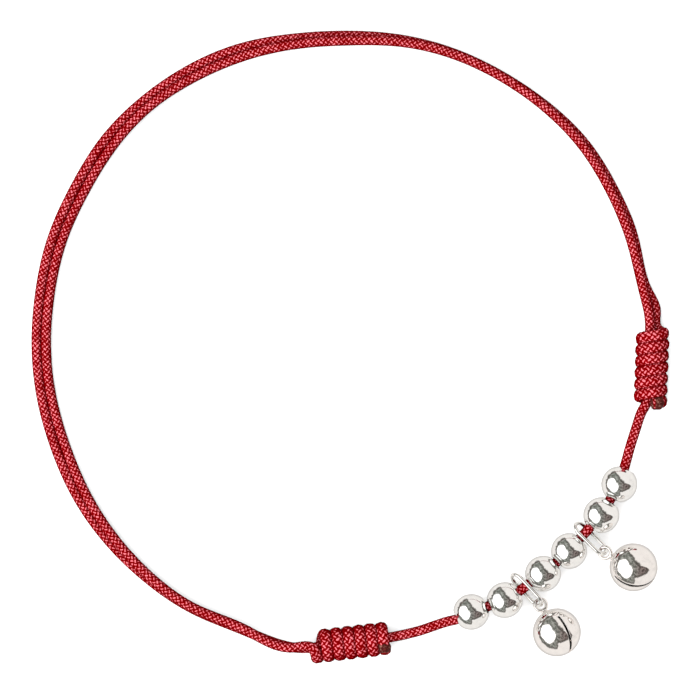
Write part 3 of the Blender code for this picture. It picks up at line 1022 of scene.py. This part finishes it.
@dataclass
class Bead:
    """A round drilled bead, its bore's edges broken."""

    node: str
    sides: int = 72
    arc_steps: int = 36
    lip: float = 0.07 * MM

    def profile(self) -> list[Pair]:
        """Radius and height, from the lower lip round the outside and back through the bore."""
        rim = math.asin((BORE_RADIUS + self.lip) / BEAD_RADIUS)
        points = []
        for i in range(self.arc_steps + 1):
            angle = math.pi - rim - (math.pi - 2 * rim) * i / self.arc_steps
            points.append((BEAD_RADIUS * math.sin(angle), BEAD_RADIUS * math.cos(angle)))
        top = BEAD_RADIUS * math.cos(rim)
        lip_arc = [
            (BORE_RADIUS + self.lip * (1 - math.sin(turn)), top - self.lip * (1 - math.cos(turn)))
            for turn in (math.pi / 8, math.pi / 4, 3 * math.pi / 8, math.pi / 2)
        ]
        points += lip_arc
        points += [(radius, -height) for radius, height in reversed(lip_arc)]
        points.append(points[0])
        return points

    def build(self, route: Route, material: bpy.types.Material) -> None:
        """Adds the bead where its CAD node is, its bore along the cord."""
        middle = box_middle(self.node)
        mark = route.nearest_mark(middle)
        along = route.point(mark + BORE_REACH) - route.point(mark - BORE_REACH)
        along = Vector((along.x, along.y, 0.0)).normalized()
        outward = along.cross(UP)
        matrix = axes_matrix(outward, UP, outward.cross(UP), middle)
        mesh = wrapped_mesh(self.node, moved(turned_grid(self.profile(), self.sides), matrix))
        add_piece(f"{self.node}_polished", mesh, material, Slot.BEAD_SILVER, self.node)


@dataclass(frozen=True)
class Charm:
    """One bell on its link: the link's heading and lean, and the turns of the loop and slit."""

    number: int
    heading_deg: float
    lean_deg: float
    loop_turn_deg: float
    slit_turn_deg: float

    def link_axes(self) -> tuple[Vector, Vector]:
        """The link's long way and its narrow way."""
        along = heading(self.heading_deg)
        side = UP.cross(along)
        lean = math.radians(self.lean_deg)
        return along, UP * math.cos(lean) + side * math.sin(lean)


CHARMS = (
    Charm(1, heading_deg=-47.0, lean_deg=26.0, loop_turn_deg=12.0, slit_turn_deg=26.0),
    Charm(2, heading_deg=-44.5, lean_deg=-31.0, loop_turn_deg=-12.0, slit_turn_deg=-50.0),
)


@dataclass
class Link:
    """An oval ring of round wire."""

    charm: Charm
    wire_sides: int = 20
    end_steps: int = 28
    straight_steps: int = 6

    def build(self, material: bpy.types.Material) -> None:
        """Adds the ring where its CAD node is."""
        node = f"link_{self.charm.number}"
        middle = box_middle(node)
        along, across = self.charm.link_axes()
        straight = (LINK_LENGTH - LINK_WIRE) / 2 - LINK_HALF_WIDTH
        line = []
        for end in (1, -1):
            for i in range(self.end_steps + 1):
                angle = math.pi * (i / self.end_steps - 0.5)
                radial = (end * math.cos(angle), end * math.sin(angle))
                line.append((end * straight, 0.0, *radial))
            for i in range(1, self.straight_steps):
                share = 1 - 2 * i / self.straight_steps
                line.append((end * straight * share, 0.0, 0.0, float(end)))
        turns = round_angles(self.wire_sides)
        grid = []
        for x, y, out_x, out_y in line:
            reach = LINK_HALF_WIDTH + LINK_WIRE / 2 * np.cos(turns)
            height = LINK_WIRE / 2 * np.sin(turns)
            grid.append(np.stack([x + reach * out_x, y + reach * out_y, height], axis=1))
        grid.append(grid[0])
        matrix = axes_matrix(along, across, along.cross(across), middle)
        mesh = wrapped_mesh(node, moved(np.array(grid), matrix))
        add_piece(f"{node}_wire", mesh, material, Slot.LINK_SILVER, node)


@dataclass
class Bell:
    """A hollow ball with a sawn slit and a loop soldered to its top."""

    charm: Charm
    rows: int = 30
    round_steps: int = 144
    lip: float = 0.05 * MM
    lip_bend: float = 0.3
    loop_steps: int = 64
    loop_sides: int = 20
    solder_rows: int = 10
    solder_sides: int = 32

    def placement(self) -> Matrix:
        """Returns:
            The placement of the ball's own axes: +Z to its loop, +Y up.
        """
        middle = box_middle(f"pellet_{self.charm.number}")
        middle.z = BELL_RADIUS
        along, _ = self.charm.link_axes()
        seat = box_middle(f"link_{self.charm.number}") + along * (LINK_LENGTH - LINK_WIRE) / 2
        to_foot = (middle - seat).normalized()
        level = Vector((to_foot.x, to_foot.y, 0.0)).normalized()
        dip = math.asin(max(-1.0, min(1.0, to_foot.z)))
        upward = UP * math.cos(dip) - level * math.sin(dip)
        return axes_matrix(upward.cross(-to_foot), upward, -to_foot, middle)

    def build(self, material: bpy.types.Material) -> None:
        """Adds the bell in the model's frame."""
        matrix = self.placement()
        turn = Matrix.Rotation(math.radians(self.charm.slit_turn_deg), 4, "Z")
        parts = MeshParts()
        self._add_shell(parts, matrix @ turn)
        self._add_loop(parts, matrix)
        node = f"bell_{self.charm.number}"
        add_piece(f"{node}_polished", parts.build(node), material, Slot.BELL_SILVER, node)

    def _ring(self, x: float, angles: np.ndarray, radius: np.ndarray) -> np.ndarray:
        """A circle of the ball at a distance from the slit's plane."""
        reach = np.sqrt(np.maximum(radius**2 - x**2, 0.0))
        return np.stack([x + 0 * angles, reach * np.sin(angles), -reach * np.cos(angles)], axis=1)

    def _add_shell(self, parts: MeshParts, matrix: Matrix) -> None:
        """The ball in circles parallel to the slit, outside then inside."""
        angles = np.linspace(-math.pi, math.pi, self.round_steps, endpoint=False)
        angles = angles + math.pi / self.round_steps
        depth = np.clip((SLIT_REACH + SLIT_FADE / 2 - np.abs(angles)) / SLIT_FADE, 0.0, 1.0)
        half_slit = SLIT_WIDTH / 2
        inside = BELL_RADIUS - BELL_WALL
        outer = np.full_like(angles, BELL_RADIUS)
        bend = self.lip * self.lip_bend
        lipped = BELL_RADIUS - self.lip * depth
        inner = np.full_like(angles, inside)
        shoulder = half_slit + self.lip
        open_quad = (np.abs(angles) < SLIT_REACH) & (np.abs(np.roll(angles, -1)) < SLIT_REACH)

        def add(rings: list[np.ndarray], flip: bool, keep: np.ndarray | None = None) -> None:
            parts.add_grid(moved(np.array(rings), matrix), wrap=True, flip=flip, keep=keep)

        for side in (1, -1):
            tilt = np.linspace(math.pi / 2, math.asin(shoulder / BELL_RADIUS), self.rows)
            rings = [self._ring(side * BELL_RADIUS * math.sin(t), angles, outer) for t in tilt]
            rings.append(self._ring(side * (half_slit + bend), angles, BELL_RADIUS - bend * depth))
            rings.append(self._ring(side * half_slit, angles, lipped))
            add(rings, side > 0)
            tilt = np.linspace(math.pi / 2, math.asin(half_slit / inside), self.rows)
            rings = [self._ring(side * inside * math.sin(t), angles, inner) for t in tilt]
            add(rings, side < 0)
            wall = [self._ring(side * half_slit, angles, radius) for radius in (lipped, inner)]
            add(wall, side > 0, open_quad[None, :])
        for radius, flip in ((lipped, True), (inner, False)):
            bridge = [self._ring(x, angles, radius) for x in (half_slit, -half_slit)]
            add(bridge, flip, ~open_quad[None, :])

    def _add_loop(self, parts: MeshParts, matrix: Matrix) -> None:
        """The loop and the solder at its foot."""
        major = np.linspace(0.0, math.tau, self.loop_steps + 1)
        minor = round_angles(self.loop_sides)
        reach = LOOP_RADIUS + LOOP_WIRE / 2 * np.cos(minor)[None, :]
        ring = np.stack(
            [
                reach * np.cos(major)[:, None],
                reach * np.sin(major)[:, None],
                LOOP_WIRE / 2 * np.sin(minor)[None, :] + 0 * major[:, None],
            ],
            axis=-1,
        )
        seat = (
            matrix
            @ Matrix.Translation((0.0, 0.0, LOOP_DISTANCE))
            @ Matrix.Rotation(math.radians(self.charm.loop_turn_deg), 4, "Z")
            @ Matrix.Rotation(math.pi / 2, 4, "X")
        )
        parts.add_grid(moved(ring, seat), wrap=True)
        foot = math.sqrt(BELL_RADIUS**2 - SOLDER_FOOT_RADIUS**2) - SOLDER_SUNK
        flare = SOLDER_FOOT_RADIUS - SOLDER_NECK_RADIUS
        rise = SOLDER_TOP - foot
        profile = [
            (SOLDER_NECK_RADIUS + flare * (1 - math.sin(t)), foot + rise * (1 - math.cos(t)))
            for t in np.linspace(0.0, math.pi / 2, self.solder_rows)
        ]
        parts.add_grid(moved(turned_grid(profile, self.solder_sides), matrix), wrap=True)


@dataclass
class Pellet:
    """The loose ball that rings a bell."""

    number: int
    rows: int = 17
    sides: int = 32

    def build(self, material: bpy.types.Material) -> None:
        """Adds the ball where its CAD node is."""
        node = f"pellet_{self.number}"
        middle = box_middle(node)
        profile = [
            (PELLET_RADIUS * math.sin(t), -PELLET_RADIUS * math.cos(t))
            for t in np.linspace(0.0, math.pi, self.rows)
        ]
        ball = moved(turned_grid(profile, self.sides), Matrix.Translation(middle))
        add_piece(f"{node}_ball", wrapped_mesh(node, ball), material, Slot.PELLET_STEEL, node)


# Studio


@dataclass(frozen=True)
class Patch:
    """A patch of the room, by its corners in turn, which its own middle sees all of.

    Corners are laid out on the disc that a polished ball shows from above: x to the right, y to the
    back, radius 1 at the ball's outline."""

    middle: Pair
    corners: tuple[Pair, ...]

    def depth(self, graph: NodeGraph, spot: Socket, jitter: Socket) -> Socket:
        """How far a spot lies inside the patch, its edge made uneven.

        Args:
            graph: the node tree.
            spot: a point of the disc.
            jitter: the unevenness.
        """
        away = graph.vector_math("SUBTRACT", spot, (*self.middle, 0.0))
        parts = graph.split(away)
        angle = graph.math("ARCTAN2", parts["Y"], parts["X"])
        turn = graph.math("FRACT", graph.math("DIVIDE", angle, math.tau))
        stops = []
        for x, y in self.corners:
            run, rise = x - self.middle[0], y - self.middle[1]
            stops.append(((math.atan2(rise, run) / math.tau) % 1.0, math.hypot(run, rise)))
        stops.sort()
        (first_at, first), (last_at, last) = stops[0], stops[-1]
        seam = last + (first - last) * (1.0 - last_at) / (first_at + 1.0 - last_at)
        ramp = graph.node("ShaderNodeValToRGB", {"Fac": turn})
        elements = ramp.color_ramp.elements
        elements[0].color = elements[1].color = (seam, seam, seam, 1.0)
        for at, reach in stops:
            elements.new(at).color = (reach, reach, reach, 1.0)
        reach = graph.math("ADD", ramp.outputs["Color"], jitter)
        return graph.math("SUBTRACT", reach, graph.vector_math("LENGTH", away))


GLOOM = Patch(
    (-0.15, 0.0),
    (
        (-0.24, 0.77),
        (-0.68, 0.34),
        (-0.76, 0.0),
        (-0.60, -0.41),
        (-0.29, -0.63),
        (0.03, -0.68),
        (0.04, -0.44),
        (0.30, -0.34),
        (0.50, -0.27),
        (0.64, -0.12),
        (0.58, -0.03),
        (0.31, 0.07),
        (0.06, 0.31),
        (-0.12, 0.57),
    ),
)
WINDOW = Patch(
    (-0.37, -0.05),
    (
        (-0.60, 0.28),
        (-0.33, 0.34),
        (-0.20, 0.10),
        (-0.05, -0.18),
        (-0.28, -0.45),
        (-0.53, -0.27),
        (-0.66, 0.08),
    ),
)


@dataclass(frozen=True)
class Studio:
    """A white table in a bright room with a dark corner, which holds a window.

    The polished silver shows the room. A broad soft light from above and a weaker, narrower lamp
    from the left, which it doesn't show, light the cord and the table."""

    room: Color = (0.93, 0.90, 0.87)
    edge: Color = (0.60, 0.58, 0.56)
    cool_shade: Color = (0.125, 0.135, 0.115)
    warm_shade: Color = (0.075, 0.058, 0.054)
    cool_light: Color = (0.44, 0.45, 0.42)
    warm_light: Color = (0.27, 0.22, 0.205)
    gloom_rim: Color = (0.085, 0.08, 0.07)
    window: float = 1.5
    sky_strength: float = 6.3
    sky_spread_deg: float = 130.0
    sky_from: tuple[float, float, float] = (-0.25, -0.05, 0.97)
    key_strength: float = 2.0
    key_spread_deg: float = 40.0
    key_from: tuple[float, float, float] = (-0.80, -0.20, 0.55)
    picture_width: float = 87.5 * MM
    picture_middle: Pair = (0.06 * MM, -0.44 * MM)
    camera_height: float = 1.2
    sensor_width: float = 36.0
    clip_start: float = 0.01
    clip_end: float = 10.0
    table_reach: float = 1.5
    table_top: float = -0.03 * MM

    def build(self) -> None:
        """Adds the table, the room's light, the lamps and the camera."""
        self._add_table()
        self._light_room()
        self._add_lamp("sky", self.sky_from, self.sky_strength, self.sky_spread_deg)
        self._add_lamp("key", self.key_from, self.key_strength, self.key_spread_deg)
        self._add_camera()

    def _add_table(self) -> None:
        """The table, whose top the cord's lowest yarns press into."""
        sides = (-self.table_reach, self.table_reach)
        parts = MeshParts()
        parts.add_grid(np.array([[(x, y, self.table_top) for x in sides] for y in sides]))
        mesh = parts.build("table")
        mesh.materials.append(TableFinish("table_white", (0.95, 0.95, 0.95)).build())
        table = new_object("table", mesh)
        table.visible_glossy = False
        table.visible_diffuse = False
        table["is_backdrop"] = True

    def _add_lamp(
        self, name: str, source: tuple[float, float, float], strength: float, spread_deg: float
    ) -> None:
        """A far soft lamp that no mirror shows."""
        data = bpy.data.lights.new(name, "SUN")
        data.energy = strength
        data.angle = math.radians(spread_deg)
        lamp = new_object(name, data)
        lamp.rotation_mode = "QUATERNION"
        lamp.rotation_quaternion = Vector(source).to_track_quat("Z", "Y")
        lamp.visible_glossy = False

    def _light_room(self) -> None:
        """The room's brightness by direction."""
        world = bpy.data.worlds.new("room")
        bpy.context.scene.world = world
        world.use_nodes = True
        world.cycles_visibility.diffuse = False
        graph = NodeGraph(world.node_tree)
        half = graph.vector_math("ADD", graph.place("Generated"), (0.0, 0.0, 1.0))
        spot = graph.vector_math("NORMALIZE", half)
        flat = graph.vector_math("MULTIPLY", spot, (1.0, 1.0, 0.0))
        out = graph.vector_math("LENGTH", flat)

        jitter = graph.math("MULTIPLY_ADD", graph.noise(flat, 7.0, 4.0, 0.6), 0.20, -0.10)
        inside = GLOOM.depth(graph, flat, jitter)
        gloomy = graph.ramp(inside, -0.03, 0.03)
        finer = graph.math("MULTIPLY", jitter, 0.5)
        glass = graph.ramp(WINDOW.depth(graph, flat, finer), -0.025, 0.025)

        haze = graph.noise(flat, 4.0, 3.0)
        wall = graph.mix(graph.ramp(haze, 0.35, 0.7, 0.0, 0.16), self.room, self.edge)
        wall = graph.mix(graph.ramp(out, 0.88, 0.99), wall, self.edge)
        mottle = graph.noise(flat, 9.0, 4.0, 0.65)
        warmer = graph.ramp(graph.split(flat)["X"], -0.15, 0.35)
        shade = graph.mix(warmer, self.cool_shade, self.warm_shade)
        light = graph.mix(warmer, self.cool_light, self.warm_light)
        shade = graph.mix(graph.ramp(mottle, 0.42, 0.60), shade, light)
        shade = graph.mix(graph.ramp(inside, 0.0, 0.13), self.gloom_rim, shade)
        color = graph.mix(gloomy, wall, shade)
        color = graph.mix(glass, color, (self.window,) * 3)
        graph.fill(world.node_tree.nodes["Background"], {"Color": color, "Strength": 1.0})

    def _add_camera(self) -> None:
        """The camera, straight above the anklet."""
        data = bpy.data.cameras.new("camera")
        data.sensor_width = self.sensor_width
        data.lens = self.sensor_width * self.camera_height / self.picture_width
        data.clip_start = self.clip_start
        data.clip_end = self.clip_end
        camera = new_object("camera", data)
        camera.location = (*self.picture_middle, self.camera_height)
        bpy.context.scene.camera = camera


def main(load_box: Sequence[Vector]) -> None:
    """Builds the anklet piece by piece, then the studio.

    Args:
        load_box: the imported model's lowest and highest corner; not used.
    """
    bpy.context.scene.view_settings.view_transform = "Standard"
    yarn = YarnFinish(
        "crimson_yarn", (0.60, 0.138, 0.162), (0.235, 0.001, 0.004), (0.118, 0.0001, 0.0003)
    ).build()
    singed = SingedFinish(
        "singed_tip", (0.034, 0.0015, 0.001), (0.075, 0.010, 0.008), (0.17, 0.075, 0.055)
    ).build()
    bead_silver = SilverFinish("polished_bead_silver", (0.95, 0.945, 0.93), 0.07).build()
    link_silver = SilverFinish("polished_link_silver", (0.94, 0.93, 0.91), 0.10).build()
    bell_silver = SilverFinish("polished_bell_silver", (0.96, 0.925, 0.90), 0.08).build()
    steel = SilverFinish("pellet_steel", (0.45, 0.45, 0.46), 0.3).build()

    pattern = BraidPattern()
    outer = Strand("braid_outer", "cord_outer", outer_route, pattern)
    inner = Strand("braid_inner", "cord_inner", inner_route, pattern)
    front = Strand("braid_front", "cord_front", front_route, pattern)
    for strand in (outer, inner, front):
        strand.build(yarn)
    SlidingKnot("wraps_left", LEFT_KNOT, pattern, inner).build(yarn, singed)
    SlidingKnot("wraps_right", RIGHT_KNOT, pattern, outer, tip_length=1.4 * MM).build(yarn, singed)

    threaded = front_route()
    for number in range(1, 7):
        Bead(f"bead_{number}").build(threaded, bead_silver)
    for charm in CHARMS:
        Link(charm).build(link_silver)
        Bell(charm).build(bell_silver)
        Pellet(charm.number).build(steel)
    Studio().build()


if __name__ == "__main__":
    logging.basicConfig(level=logging.INFO, format="%(name)s: %(message)s")
    main(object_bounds())
